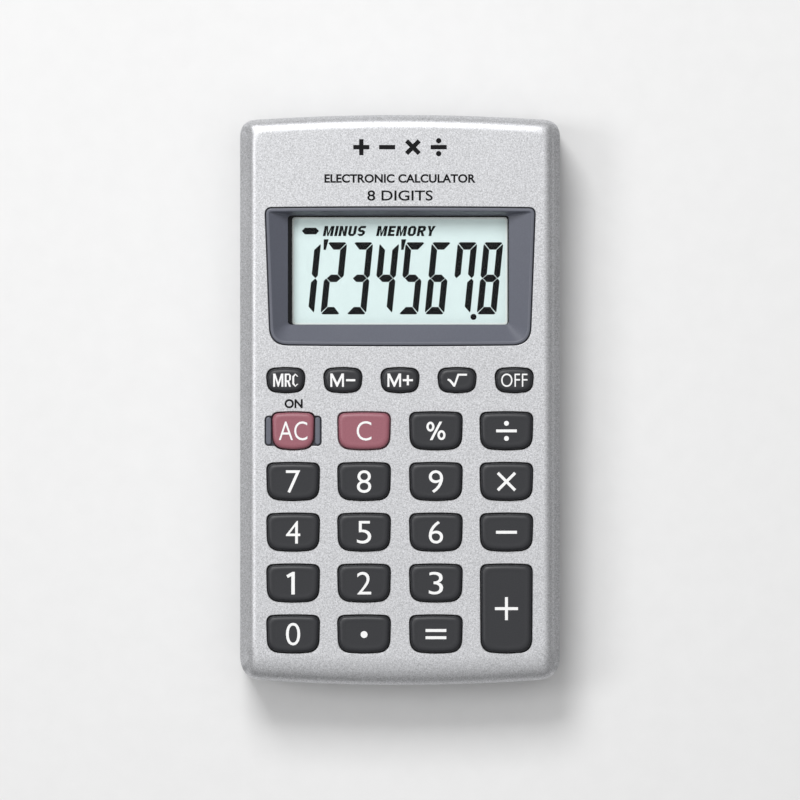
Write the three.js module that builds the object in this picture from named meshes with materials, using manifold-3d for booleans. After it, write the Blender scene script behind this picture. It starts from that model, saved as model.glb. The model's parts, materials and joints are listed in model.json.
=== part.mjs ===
// Pocket calculator lying on its back: X to the right, Y towards the display end, Z out of the face.
// The origin is under the middle of the case, on the surface it lies on. Millimetres.
import * as THREE from "three";
import { mergeVertices } from "three/addons/utils/BufferGeometryUtils.js";
import Module from "manifold-3d";

const wasm = await Module();
wasm.setup();

// Case
const WIDTH = 69.5;
const LENGTH = 124;
const CROWN = 1;
const CORNER_TOP = 3.9;
const CORNER_FOOT = 5.5;
const FACE = 17.4;
const PLATE = 1.2;
const WALL = 1.9;
const FLOOR = 1.6;
const SHOULDER = 2.9;
const BACK_EDGE = 1.8;
const FOOT_ROLL = 6.6;
const FOOT_DROP = 3.2;
const FOOT_WALL = 4.2;
const REAR_TOP = 8.5;
const FRONT_BOTTOM = 8.8;
const TONGUE = [7, 9.8];
const TONGUE_ROOM = 10.4;
const TONGUE_GAP = 0.3;
const TONGUE_WALL = 0.8;
const LEDGE_BITE = 0.5;

// Keys: a cap that stands through the cover, on a flange that stops under it
const KEY_TOP = 18.4;
const KEY_GAP = 0.25;
const FLANGE_RIM = 0.7;
const FLANGE_TOP = 15.9;
const FLANGE_DEPTH = 1.3;
const CAP_EDGE = 0.4;
const COLUMNS = [-23.2, -7.8, 7.8, 23.1];
const ROWS = [-6.7, -17.7, -28.7, -39.75, -50.8];
const MAIN_OPENING = { width: 11.6, height: 8.45, top: 1.6, foot: 3 };
const TALL_OPENING = { width: 11.4, height: 19.5, top: 1.6, foot: 3 };
const OVAL_OPENING = { width: 8.45, height: 5.65, top: 2.1, foot: 2.5 };
const GUARDED_OPENING = { width: 9.5, height: 8.45, top: 1.6, foot: 3 };
const OVAL_PITCH = 12.4;
const OVAL_ROW = 4.3;

// AC key guard: two ribs on a plate that lies between the cover and the key's lower flange
const GUARD_AT = [COLUMNS[0], ROWS[0]];
const GUARD_RIB = { width: 1.15, height: 6, top: 0.45, foot: 0.45, at: 5.325 };
const GUARD_PLATE = { width: 13.4, height: 9.6, top: 2, foot: 2, crown: 0.02, taper: 0 };
const GUARD_PLATE_Z = [15, 15.9];
const GUARD_TOP = 17.9;
const GUARDED_FLANGE_TOP = 14.7;

// Board, mat and screws
const BOARD = { left: -30.2, right: 30.2, foot: -55.5, top: 42.6, low: 9, high: 10.2 };
const MAT = { left: -30.2, right: 30.2, foot: -55.5, top: 7.4, low: 10.4, high: 11 };
const DOME = { foot: 3.1, top: 2.2, wall: 0.5, roof: 1, gap: 0.3 };
const CASE_SCREWS = [[-27, -57.4], [27, -57.4], [-29.4, 9.5], [29.4, 9.5]];
const BOARD_SCREWS = [[-15.5, -12.2], [15.5, -12.2], [0, -23.2], [-15.5, -34.2], [15.5, -34.2], [0, -45.3]];
const CASE_BOSS = 1.6;
const BOARD_BOSS = 1.4;
const PILOT = 0.95;
const SHANK = 0.8;
const CASE_HEAD = { radius: 1.7, low: 3.6, high: 4.7, seat: 5, room: 2 };
const BOARD_HEAD = { radius: 1.5, low: 7.7, high: 8.8 };
const SHANK_END = 14.2;
const SHANK_ROOM = { side: 0.3, end: 0.8 };
const BOSS_ROOM = 0.4;
const MAT_ROOM = 0.3;
const WELL_WALL = 0.9;

// On the back of the board
const RESIN = { y: 26, profile: [[0, -1.4], [3.4, -1.2], [5.2, -0.7], [6, 0], [0, 0]] };
const CAPACITOR = { left: -16, right: -11, foot: 29, top: 32, depth: 3 };
const RESISTOR = { left: 10, right: 13.2, foot: 29, top: 30.6, depth: 0.7 };

// Display
const BEZEL = { left: -29.1, right: 29.2, foot: 11.9, top: 41.8, taper: 0.9, low: 14, high: 17.6 };
const BEZEL_FLANGE = { rim: 0.6, high: 15.9 };
const RECESS_RIM = 0.7;
const RECESS_FLOOR = 14.9;
const WINDOW = { left: -23.5, right: 23.4, foot: 16.4, top: 39.8 };
const WINDOW_PLATE = { rim: 1.4, low: 12.9, high: 13.8 };
const GLASS = { half: 26.2, top: 41.6, ledge: 12.8, foot: 15.6 };
const FILM = { half: 25, top: 41, foot: 15.8 };
const FILM_FRONT = [12.6, 12.8];
const GLASS_FRONT = [11.8, 12.5];
const GLASS_REAR = [11, 11.7];
const FILM_REAR = [10.7, 10.9];
const ZEBRA = { half: 25.6, foot: 13.2, top: 14.8, low: 10.4, high: 11.6 };

// Battery, lying crosswise behind the plain end of the face
const CELL = { y: 52.2, z: 8.7, radius: 7.25, left: -24.3, right: 24.9, pip: 26.2, pipRadius: 2.75 };
const BAY = { half: 29.6, wall: 1.1, foot: 44.5, top: 58.3, high: 15.9 };
const DOOR = { half: 28.4, foot: 44.9, thickness: 1.2, lip: 6.5, gap: 0.25 };
const TAB = { inner: 25.6, outer: 28, foot: 43, root: 46.1, low: 1.85, high: 2.65, room: 0.3 };
const GRIP = { half: 7, count: 6, first: 50.4, pitch: 1.5, width: 0.7, depth: 0.4 };
const CONTACT = { inner: 28.9, outer: 29.3, foot: 46.2, top: 57.6, low: 3.2, high: 13.2 };
const CONTACT_PIP = { top: 2.4, foot: 3.4, gap: 0.5, root: 0.1 };
const CELL_EDGE = 0.4;
const PIP_EDGE = 0.2;
const SPRING = { turns: 4, gauge: 0.4, foot: 4.4, top: 3, gap: 0.2 };
const WIRE = 0.5;
const WIRE_Z = 11.05;
const NOTCH = { inner: 2, outer: 0.2, drop: 1.4 };

// How far joined solids reach into each other, how far a cut runs past a face, and how far touching
// solids stay apart
const JOIN = 0.2;
const PAST = 1;
const BITE = 0.5;
const APART = 0.2;
const SLIVER = 0.01;

const CURVE = 6;
const FINE = 3;
const ROUND = 16;
const SMALL_ROUND = 10;
const CELL_ROUND = 28;
const PER_TURN = 10;

// Helpers
const solid = (geometry) => {
  const bare = geometry.clone();
  bare.deleteAttribute("normal");
  bare.deleteAttribute("uv");
  const merged = mergeVertices(bare, 1e-4);
  const vertProperties = new Float32Array(merged.attributes.position.array);
  const triVerts = new Uint32Array(merged.index.array);
  return new wasm.Manifold(new wasm.Mesh({ numProp: 3, vertProperties, triVerts }));
};

const surface = (manifold) => {
  const mesh = manifold.getMesh();
  const geometry = new THREE.BufferGeometry();
  geometry.setAttribute("position", new THREE.BufferAttribute(new Float32Array(mesh.vertProperties), 3));
  geometry.setIndex(new THREE.BufferAttribute(new Uint32Array(mesh.triVerts), 1));
  geometry.computeVertexNormals();
  return geometry;
};

const prism = (shape, low, high, curveSegments = FINE) => {
  const settings = { depth: high - low, bevelEnabled: false, curveSegments };
  return new THREE.ExtrudeGeometry(shape, settings).translate(0, 0, low);
};

const roundedPrism = (shape, low, high, inset, drop, curveSegments, bevelSegments) => {
  const geometry = new THREE.ExtrudeGeometry(shape, {
    depth: high - low - 2 * drop,
    bevelThickness: drop,
    bevelSize: inset,
    bevelOffset: -inset,
    bevelSegments,
    curveSegments,
  });
  return geometry.translate(0, 0, low + drop);
};

const box = (left, right, foot, top, low, high) => {
  const geometry = new THREE.BoxGeometry(right - left, top - foot, high - low);
  return geometry.translate((left + right) / 2, (foot + top) / 2, (low + high) / 2);
};

const post = (x, y, low, high, foot, top = foot, sides = ROUND) => {
  const geometry = new THREE.CylinderGeometry(top, foot, high - low, sides);
  return geometry.rotateX(Math.PI / 2).translate(x, y, (low + high) / 2);
};

// An outline with crowned ends, corners of two sizes, and sides that draw in towards the foot
const crownedShape = ({ width, height, top, foot, crown = 0.12, taper = 0.1 }) => {
  const side = width / 2;
  const low = side - taper;
  const end = height / 2 - crown;
  const shape = new THREE.Shape();
  shape.moveTo(-side, end - top);
  shape.quadraticCurveTo(-side, end, -side + top, end);
  shape.quadraticCurveTo(0, end + 2 * crown, side - top, end);
  shape.quadraticCurveTo(side, end, side, end - top);
  shape.lineTo(low, -end + foot);
  shape.quadraticCurveTo(low, -end, low - foot, -end);
  shape.quadraticCurveTo(0, -end - 2 * crown, -low + foot, -end);
  shape.quadraticCurveTo(-low, -end, -low, -end + foot);
  return shape;
};

const caseShape = (inset) => crownedShape({
  width: WIDTH - 2 * inset,
  height: LENGTH - 2 * inset,
  top: Math.max(CORNER_TOP - inset, 1),
  foot: Math.max(CORNER_FOOT - inset, 1),
  crown: CROWN,
  taper: 0,
});

const shrunk = (opening, by) => ({
  ...opening,
  width: opening.width - 2 * by,
  height: opening.height - 2 * by,
});

// Keys and where they are
const keys = [];
const addKey = (name, x, y, opening, colour = "dark", flangeTop = FLANGE_TOP) => {
  keys.push({ name: `key_${name}`, x, y, opening, colour, flangeTop });
};
["mrc", "m_minus", "m_plus", "sqrt", "off"].forEach((name, place) => {
  addKey(name, (place - 2) * OVAL_PITCH, OVAL_ROW, OVAL_OPENING);
});
addKey("ac", ...GUARD_AT, GUARDED_OPENING, "maroon", GUARDED_FLANGE_TOP);
addKey("c", COLUMNS[1], ROWS[0], MAIN_OPENING, "maroon");
const mainRows = [
  [null, null, "percent", "divide"],
  ["7", "8", "9", "multiply"],
  ["4", "5", "6", "minus"],
  ["1", "2", "3", null],
  ["0", "point", "equals", null],
];
mainRows.forEach((names, row) => names.forEach((name, column) => {
  if (name) {
    addKey(name, COLUMNS[column], ROWS[row], MAIN_OPENING);
  }
}));
addKey("plus", COLUMNS[3], (ROWS[3] + ROWS[4]) / 2, TALL_OPENING);

// Case shells
const footProfile = () => {
  const end = LENGTH / 2;
  const shape = new THREE.Shape();
  shape.moveTo(end + PAST, -PAST);
  shape.lineTo(end + PAST, FACE + PAST);
  shape.lineTo(-end + FOOT_ROLL, FACE + PAST);
  shape.lineTo(-end + FOOT_ROLL, FACE);
  shape.quadraticCurveTo(-end + FOOT_ROLL / 3, FACE, -end, FACE - FOOT_DROP);
  shape.lineTo(-end, -PAST);
  const along = new THREE.Matrix4().makeBasis(
    new THREE.Vector3(0, 1, 0),
    new THREE.Vector3(0, 0, 1),
    new THREE.Vector3(1, 0, 0),
  );
  return prism(shape, -WIDTH / 2 - PAST, WIDTH / 2 + PAST, CURVE).applyMatrix4(along);
};

const caseBlock = (edge) => solid(roundedPrism(caseShape(0), 0, FACE, edge, edge, CURVE, 4));

const slab = (low, high) => solid(box(-WIDTH, WIDTH, -LENGTH, LENGTH, low, high));

const bezelOutline = (grow) => crownedShape({
  width: BEZEL.right - BEZEL.left + 2 * grow,
  height: BEZEL.top - BEZEL.foot + 2 * grow,
  top: 1.3,
  foot: 4,
  crown: 0.15,
  taper: BEZEL.taper,
});

const atBezel = (geometry) => geometry.translate(
  (BEZEL.left + BEZEL.right) / 2,
  (BEZEL.top + BEZEL.foot) / 2,
  0,
);

const keyOpening = (key, low, high) => (
  solid(prism(crownedShape(key.opening), low, high).translate(key.x, key.y, 0))
);

const guardOpening = (low, high) => {
  const half = GUARD_RIB.at + GUARD_RIB.width / 2 + KEY_GAP;
  const reach = GUARD_RIB.height / 2 + KEY_GAP;
  return solid(box(-half, half, -reach, reach, low, high).translate(...GUARD_AT, 0));
};

const frontCover = () => {
  let cover = caseBlock(SHOULDER).intersect(solid(footProfile())).intersect(slab(FRONT_BOTTOM, FACE + PAST));
  const ceiling = FACE - PLATE;
  const hollow = solid(prism(caseShape(WALL), 0, ceiling, CURVE));
  const foot = solid(box(-WIDTH, WIDTH, -LENGTH, -LENGTH / 2 + FOOT_WALL, TONGUE_ROOM, FACE));
  cover = cover.subtract(hollow.subtract(foot));
  const bosses = [
    ...CASE_SCREWS.map(([x, y]) => [x, y, CASE_BOSS, FRONT_BOTTOM]),
    ...BOARD_SCREWS.map(([x, y]) => [x, y, BOARD_BOSS, BOARD.high + APART]),
  ];
  for (const [x, y, radius, low] of bosses) {
    cover = cover.add(solid(post(x, y, low, ceiling + JOIN, radius, radius, SMALL_ROUND)));
    cover = cover.subtract(solid(post(x, y, 0, SHANK_END + SHANK_ROOM.end, PILOT, PILOT, SMALL_ROUND)));
  }
  for (const key of keys) {
    cover = cover.subtract(keyOpening(key, ceiling - PAST, FACE + PAST));
  }
  cover = cover.subtract(guardOpening(ceiling - PAST, FACE + PAST));
  return cover.subtract(solid(atBezel(prism(bezelOutline(KEY_GAP), ceiling - PAST, FACE + PAST))));
};

const doorRoom = (grow) => {
  const half = DOOR.half + grow;
  return solid(box(-half, half, DOOR.foot - grow, LENGTH, -PAST, DOOR.lip + grow));
};

const rearCover = () => {
  const block = caseBlock(BACK_EDGE).intersect(slab(-PAST, REAR_TOP));
  let cover = block.subtract(solid(prism(caseShape(WALL), FLOOR, FACE, CURVE)));
  const insideTongue = caseShape(WALL + TONGUE_GAP + TONGUE_WALL);
  const tongue = solid(prism(caseShape(WALL + TONGUE_GAP), ...TONGUE, CURVE))
    .subtract(solid(prism(insideTongue, TONGUE[0] - PAST, TONGUE[1] + PAST, CURVE)))
    .subtract(solid(box(-WIDTH, WIDTH, BAY.foot - 2 * BAY.wall, LENGTH, 0, FACE)));
  const ledge = solid(prism(caseShape(WALL - LEDGE_BITE), TONGUE[0] - TONGUE_WALL, REAR_TOP, CURVE))
    .subtract(solid(prism(insideTongue, 0, FACE, CURVE)))
    .subtract(solid(box(-WIDTH, WIDTH, BAY.foot - 2 * BAY.wall, LENGTH, 0, FACE)));
  cover = cover.add(ledge).add(tongue);
  for (const [x, y] of CASE_SCREWS) {
    cover = cover.subtract(solid(post(x, y, REAR_TOP, TONGUE_ROOM, CASE_BOSS + BOSS_ROOM)));
    cover = cover.add(solid(post(x, y, FLOOR / 2, REAR_TOP, CASE_HEAD.room + WELL_WALL)).intersect(block));
    cover = cover.subtract(solid(post(x, y, -PAST, CASE_HEAD.seat, CASE_HEAD.room)));
    const hole = SHANK + SHANK_ROOM.side;
    cover = cover.subtract(solid(post(x, y, -PAST, FACE, hole, hole, SMALL_ROUND)));
  }
  const outer = BAY.half + BAY.wall;
  cover = cover.add(solid(box(-outer, outer, BAY.foot - BAY.wall, BAY.foot, FLOOR - BITE, BAY.high)));
  for (const side of [-1, 1]) {
    const ends = [side * BAY.half, side * outer].sort((a, b) => a - b);
    cover = cover.add(solid(box(...ends, BAY.foot - BITE, BAY.top, FLOOR - BITE, BAY.high)));
    const slot = [side * (TAB.inner - TAB.room), side * (TAB.outer + TAB.room)].sort((a, b) => a - b);
    const slotTop = TAB.high + TAB.room;
    cover = cover.subtract(solid(box(...slot, TAB.foot - TAB.room, DOOR.foot, FLOOR, slotTop)));
    const notch = [side * (BAY.half - NOTCH.inner), side * (BAY.half + NOTCH.outer)].sort((a, b) => a - b);
    const notchZ = [WIRE_Z - NOTCH.drop, BAY.high + PAST];
    cover = cover.subtract(solid(box(...notch, TAB.foot, BAY.foot + BITE, ...notchZ)));
  }
  return cover.subtract(doorRoom(DOOR.gap));
};

const batteryCover = () => {
  const inside = solid(prism(caseShape(WALL), DOOR.thickness, FACE, CURVE));
  let door = caseBlock(BACK_EDGE).subtract(inside).intersect(doorRoom(0));
  for (const side of [-1, 1]) {
    const ends = [side * TAB.inner, side * TAB.outer].sort((a, b) => a - b);
    door = door.add(solid(box(...ends, TAB.foot, TAB.root, TAB.low, TAB.high)));
    door = door.add(solid(box(...ends, DOOR.foot, TAB.root, DOOR.thickness - BITE, TAB.high)));
  }
  for (let groove = 0; groove < GRIP.count; groove += 1) {
    const y = GRIP.first + groove * GRIP.pitch;
    door = door.subtract(solid(box(-GRIP.half, GRIP.half, y, y + GRIP.width, -PAST, GRIP.depth)));
  }
  return door;
};

// Keys
const keyCap = (key) => {
  const low = key.flangeTop - FLANGE_DEPTH;
  const outline = shrunk(key.opening, KEY_GAP);
  const root = low + FLANGE_DEPTH / 4;
  const cap = roundedPrism(crownedShape(outline), root, KEY_TOP, CAP_EDGE, CAP_EDGE, FINE, 2);
  const half = outline.width / 2 + FLANGE_RIM;
  const reach = outline.height / 2 + FLANGE_RIM;
  const flange = box(-half, half, -reach, reach, low, key.flangeTop);
  return solid(cap).add(solid(flange)).translate([key.x, key.y, 0]);
};

const keyGuard = () => {
  const [low, high] = GUARD_PLATE_Z;
  let guard = solid(prism(crownedShape(GUARD_PLATE), low, high));
  guard = guard.subtract(solid(prism(crownedShape(GUARDED_OPENING), low - PAST, high + PAST)));
  const rib = crownedShape({ ...GUARD_RIB, crown: 0.02, taper: 0 });
  for (const side of [-1, 1]) {
    guard = guard.add(solid(prism(rib, low, GUARD_TOP).translate(side * GUARD_RIB.at, 0, 0)));
  }
  return guard.translate([...GUARD_AT, 0]);
};

const keypadMat = () => {
  let mat = solid(box(MAT.left, MAT.right, MAT.foot, MAT.top, MAT.low, MAT.high));
  for (const key of keys) {
    const top = key.flangeTop - FLANGE_DEPTH - DOME.gap;
    const inner = [DOME.foot - DOME.wall, DOME.top - DOME.wall];
    mat = mat.add(solid(post(key.x, key.y, MAT.low + JOIN, top, DOME.foot, DOME.top, SMALL_ROUND)));
    mat = mat.subtract(solid(post(key.x, key.y, MAT.low - PAST, top - DOME.roof, ...inner, SMALL_ROUND)));
  }
  for (const [x, y] of BOARD_SCREWS) {
    mat = mat.subtract(solid(post(x, y, 0, FACE, BOARD_BOSS + MAT_ROOM, BOARD_BOSS + MAT_ROOM, SMALL_ROUND)));
  }
  return mat;
};

// Display
const taperedBlock = (floor, rim, low, high) => {
  const geometry = new THREE.BoxGeometry(1, 1, high - low).translate(0, 0, (low + high) / 2);
  const corner = geometry.attributes.position;
  for (let i = 0; i < corner.count; i += 1) {
    const edges = corner.getZ(i) > (low + high) / 2 ? rim : floor;
    const x = corner.getX(i) > 0 ? edges.right : edges.left;
    const y = corner.getY(i) > 0 ? edges.top : edges.foot;
    corner.setXY(i, x, y);
  }
  return geometry;
};

const displayBezel = () => {
  let bezel = solid(atBezel(prism(bezelOutline(0), BEZEL.low, BEZEL.high)));
  bezel = bezel.add(solid(atBezel(prism(bezelOutline(BEZEL_FLANGE.rim), BEZEL.low, BEZEL_FLANGE.high))));
  const rim = {
    left: BEZEL.left + RECESS_RIM + BEZEL.taper / 2,
    right: BEZEL.right - RECESS_RIM - BEZEL.taper / 2,
    foot: BEZEL.foot + RECESS_RIM,
    top: BEZEL.top - RECESS_RIM,
  };
  bezel = bezel.subtract(solid(taperedBlock(WINDOW, rim, RECESS_FLOOR, BEZEL.high + SLIVER)));
  const { left, right, foot, top } = WINDOW;
  return bezel.subtract(solid(box(left, right, foot, top, BEZEL.low - PAST, RECESS_FLOOR + SLIVER)));
};

const windowPlate = () => {
  const rim = WINDOW_PLATE.rim;
  const { left, right, foot, top } = WINDOW;
  return box(left - rim, right + rim, foot - rim, top + rim, WINDOW_PLATE.low, WINDOW_PLATE.high);
};

const layer = ({ half, foot, top }, [low, high]) => box(-half, half, foot, top, low, high);

// Board and what is on its back
const circuitBoard = () => {
  let board = solid(box(BOARD.left, BOARD.right, BOARD.foot, BOARD.top, BOARD.low, BOARD.high));
  for (const [x, y] of CASE_SCREWS.slice(2)) {
    board = board.subtract(solid(post(x, y, 0, FACE, CASE_BOSS + BOSS_ROOM)));
  }
  for (const [x, y] of BOARD_SCREWS) {
    board = board.subtract(solid(post(x, y, 0, FACE, PILOT, PILOT, SMALL_ROUND)));
  }
  return board;
};

const chipResin = () => {
  const profile = RESIN.profile.map(([radius, height]) => new THREE.Vector2(radius, height));
  const drop = new THREE.LatheGeometry(profile, ROUND).rotateX(Math.PI / 2);
  return drop.translate(0, RESIN.y, BOARD.low - APART);
};

const underBoard = ({ left, right, foot, top, depth }) => (
  box(left, right, foot, top, BOARD.low - APART - depth, BOARD.low - APART)
);

const screw = ([x, y], head) => {
  const top = solid(post(x, y, head.low, head.high, head.radius));
  return top.add(solid(post(x, y, head.high - JOIN, SHANK_END, SHANK, SHANK, SMALL_ROUND)));
};

// Battery and its contacts
const alongX = (geometry) => geometry.rotateZ(-Math.PI / 2).translate(0, CELL.y, CELL.z);

const batteryCell = () => {
  const profile = [
    [0, CELL.left],
    [CELL.radius - CELL_EDGE, CELL.left],
    [CELL.radius, CELL.left + CELL_EDGE],
    [CELL.radius, CELL.right - CELL_EDGE],
    [CELL.radius - CELL_EDGE, CELL.right],
    [CELL.pipRadius, CELL.right],
    [CELL.pipRadius, CELL.pip - PIP_EDGE],
    [CELL.pipRadius - PIP_EDGE, CELL.pip],
    [0, CELL.pip],
  ].map(([radius, height]) => new THREE.Vector2(radius, height));
  return alongX(new THREE.LatheGeometry(profile, CELL_ROUND));
};

const contactPlate = (side) => {
  const ends = [side * CONTACT.inner, side * CONTACT.outer].sort((a, b) => a - b);
  return solid(box(...ends, CONTACT.foot, CONTACT.top, CONTACT.low, CONTACT.high));
};

const positiveContact = () => {
  const { top, foot, gap, root } = CONTACT_PIP;
  const pip = new THREE.CylinderGeometry(top, foot, CONTACT.outer - CELL.pip - gap, ROUND);
  pip.translate(0, (CONTACT.outer + CELL.pip + root) / 2, 0);
  return contactPlate(1).add(solid(alongX(pip)));
};

const roundSection = (radius, sides) => (
  new THREE.Shape(new THREE.Path().absarc(0, 0, radius, 0, 2 * Math.PI).getPoints(sides).slice(0, sides))
);

const negativeSpring = () => {
  const { turns, gauge, gap } = SPRING;
  const from = -CONTACT.inner + gauge + gap;
  const to = CELL.left - gauge - gap;
  const path = new THREE.CatmullRomCurve3();
  for (let step = 0; step <= turns * PER_TURN; step += 1) {
    const share = step / (turns * PER_TURN);
    const angle = share * turns * 2 * Math.PI;
    const radius = SPRING.foot + (SPRING.top - SPRING.foot) * share;
    const x = from + share * (to - from);
    const y = CELL.y + radius * Math.cos(angle);
    path.points.push(new THREE.Vector3(x, y, CELL.z + radius * Math.sin(angle)));
  }
  return new THREE.ExtrudeGeometry(roundSection(gauge, 6), { steps: turns * 12, extrudePath: path });
};

const wire = (side) => {
  const path = new THREE.CatmullRomCurve3([
    new THREE.Vector3(side * 28.9, CONTACT.foot - 0.3, WIRE_Z + 0.3),
    new THREE.Vector3(side * 28.8, BAY.foot - 0.6, WIRE_Z + 0.2),
    new THREE.Vector3(side * 28.5, BOARD.top - 1, WIRE_Z),
    new THREE.Vector3(side * 27.9, BOARD.top - 4, WIRE_Z),
    new THREE.Vector3(side * 28.2, BOARD.top - 7, WIRE_Z),
  ]);
  return new THREE.ExtrudeGeometry(roundSection(WIRE, 8), { steps: 10, extrudePath: path });
};

// Materials
const finish = (color, roughness, metalness = 0) => ({ color, roughness, metalness });
const finishes = {
  silver: finish(0xd8d9dd, 0.45, 0.3),
  rear: finish(0x8f9196, 0.6),
  grey: finish(0x61646e, 0.45),
  dark: finish(0x3e3f43, 0.4),
  maroon: finish(0x9b5f6c, 0.4),
  clear: finish(0xf4f8f8, 0.05),
  glass: finish(0xd4e2e3, 0.05),
  film: finish(0xc8d4d0, 0.3),
  silicone: finish(0xb8bcc0, 0.7),
  board: finish(0x9c6a34, 0.6),
  resin: finish(0x141414, 0.35),
  metal: finish(0xb9bbbe, 0.3, 1),
  jacket: finish(0x2f6f8f, 0.3, 0.2),
  red: finish(0xb02020, 0.4),
  black: finish(0x1a1a1a, 0.4),
  rubber: finish(0xd8a0a0, 0.6),
  ceramic: finish(0xa06a3a, 0.5),
};

const calculator = new THREE.Group();
const add = (name, form, finishName) => {
  const geometry = form.isBufferGeometry ? form : surface(form);
  const mesh = new THREE.Mesh(geometry, new THREE.MeshStandardMaterial(finishes[finishName]));
  mesh.name = name;
  calculator.add(mesh);
};

add("front_cover", frontCover(), "silver");
add("rear_cover", rearCover(), "rear");
add("battery_cover", batteryCover(), "rear");
add("display_bezel", displayBezel(), "grey");
add("display_window", windowPlate(), "clear");
add("front_polariser", layer(FILM, FILM_FRONT), "film");
add("lcd_front_glass", layer({ ...GLASS, foot: GLASS.ledge }, GLASS_FRONT), "glass");
add("lcd_rear_glass", layer(GLASS, GLASS_REAR), "glass");
add("rear_reflector", layer(FILM, FILM_REAR), "film");
add("zebra_strip", layer(ZEBRA, [ZEBRA.low, ZEBRA.high]), "rubber");
add("circuit_board", circuitBoard(), "board");
add("chip_resin", chipResin(), "resin");
add("filter_capacitor", underBoard(CAPACITOR), "ceramic");
add("timing_resistor", underBoard(RESISTOR), "resin");
add("keypad_mat", keypadMat(), "silicone");
add("ac_key_guard", keyGuard(), "grey");
add("battery_cell", batteryCell(), "jacket");
add("positive_contact", positiveContact(), "metal");
add("negative_contact", contactPlate(-1), "metal");
add("negative_spring", negativeSpring(), "metal");
add("red_wire", wire(1), "red");
add("black_wire", wire(-1), "black");
CASE_SCREWS.forEach((at, place) => add(`case_screw_${place + 1}`, screw(at, CASE_HEAD), "metal"));
BOARD_SCREWS.forEach((at, place) => add(`board_screw_${place + 1}`, screw(at, BOARD_HEAD), "metal"));
keys.forEach((key) => add(key.name, keyCap(key), key.colour));

export default calculator;
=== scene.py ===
import json
import math

import bmesh
import bpy
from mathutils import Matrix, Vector
from mathutils.geometry import delaunay_2d_cdt


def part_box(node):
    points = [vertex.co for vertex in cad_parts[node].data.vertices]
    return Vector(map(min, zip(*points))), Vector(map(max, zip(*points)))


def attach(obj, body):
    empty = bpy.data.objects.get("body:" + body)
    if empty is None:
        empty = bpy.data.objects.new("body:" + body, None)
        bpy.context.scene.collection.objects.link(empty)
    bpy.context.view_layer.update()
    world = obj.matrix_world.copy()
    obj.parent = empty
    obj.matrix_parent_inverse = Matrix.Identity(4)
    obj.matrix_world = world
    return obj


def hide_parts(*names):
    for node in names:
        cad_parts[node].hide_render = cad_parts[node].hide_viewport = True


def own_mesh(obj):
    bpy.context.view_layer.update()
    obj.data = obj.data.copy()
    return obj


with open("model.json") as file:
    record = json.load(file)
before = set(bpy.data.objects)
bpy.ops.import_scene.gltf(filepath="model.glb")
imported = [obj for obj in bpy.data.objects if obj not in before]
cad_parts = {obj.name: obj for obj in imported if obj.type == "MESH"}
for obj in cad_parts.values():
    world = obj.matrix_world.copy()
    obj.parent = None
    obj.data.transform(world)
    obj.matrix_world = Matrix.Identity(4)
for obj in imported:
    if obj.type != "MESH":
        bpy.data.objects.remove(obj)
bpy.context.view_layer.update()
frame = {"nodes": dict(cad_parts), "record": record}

MM = 0.001
SCENE = bpy.context.scene


def box_mm(node):
    """Lowest and highest corner of a CAD node, in millimetres."""
    low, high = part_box(node)
    return [v / MM for v in low], [v / MM for v in high]


COVER_LOW, COVER_HIGH = box_mm("front_cover")
WIDTH = COVER_HIGH[0] - COVER_LOW[0]
LENGTH = COVER_HIGH[1] - COVER_LOW[1]
FACE = COVER_HIGH[2]
PARTING = COVER_LOW[2]
BODY_OF = {node: body for body, nodes in frame["record"]["behaviour"]["bodies"].items() for node in nodes}
SLOT_OF = {part["node"]: part["material_slot"] for part in frame["record"]["subparts"]}
KEY_NODES = sorted(node for node in frame["nodes"] if node.startswith("key_"))

# Case, in millimetres
CROWN = 1.0
FACE_FOOT_CROWN = 0.4
CORNER_TOP = 3.9
CORNER_FOOT = 5.5
PLATE = 1.2
WALL = 1.9
REAR_TOP = PARTING - 0.3
FLOOR = 1.6
BACK_EDGE = 1.8
SHOULDER = {"side": 3.6, "top": 3.1, "foot": 6.3}
SHOULDER_DROP = {"side": 2.3, "top": 3.0, "foot": 3.5}
STEP_IN = {"left": 0.48, "right": 0.34}
STEP_UP = {"left": 0.52, "right": 0.4}
LIP = 0.13
KEY_GAP = 0.25
FLANGE_RIM = 0.7
BEZEL_RIM = 0.6
RIB = {"off": 5.325, "half_width": 0.575, "half_length": 3.0}
INSIDE_ONLY = 1  # the fill that keeps triangles inside the outline
SPARK_DEPTH = 0.00003  # depth of the plastic's texture, in metres


# Materials

def new_material(name, **values):
    """A node material whose even values sit on the shader's own sockets."""
    material = bpy.data.materials.new(name)
    material.use_nodes = True
    shader = material.node_tree.nodes["Principled BSDF"]
    for socket, value in values.items():
        shader.inputs[socket.replace("_", " ")].default_value = value
    return material, shader


def feed(material, sockets, inputs):
    """Gives each named socket its value, or the output that feeds it."""
    for name, value in inputs.items():
        if isinstance(value, bpy.types.NodeSocket):
            material.node_tree.links.new(value, sockets[name])
        else:
            sockets[name].default_value = value


def add_node(material, kind, inputs=None, **settings):
    node = material.node_tree.nodes.new(f"ShaderNode{kind}")
    for name, value in settings.items():
        setattr(node, name, value)
    feed(material, node.inputs, inputs or {})
    return node


def grain(material, scale, detail=2.0, roughness=0.5, stretch=(1, 1, 1)):
    """Noise over the object's own coordinates, scale in cells a metre."""
    place = add_node(material, "TexCoord").outputs["Object"]
    mapped = add_node(material, "Mapping", {"Scale": stretch, "Vector": place}).outputs["Vector"]
    inputs = {"Scale": scale, "Detail": detail, "Roughness": roughness, "Vector": mapped}
    return add_node(material, "TexNoise", inputs).outputs["Fac"]


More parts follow.
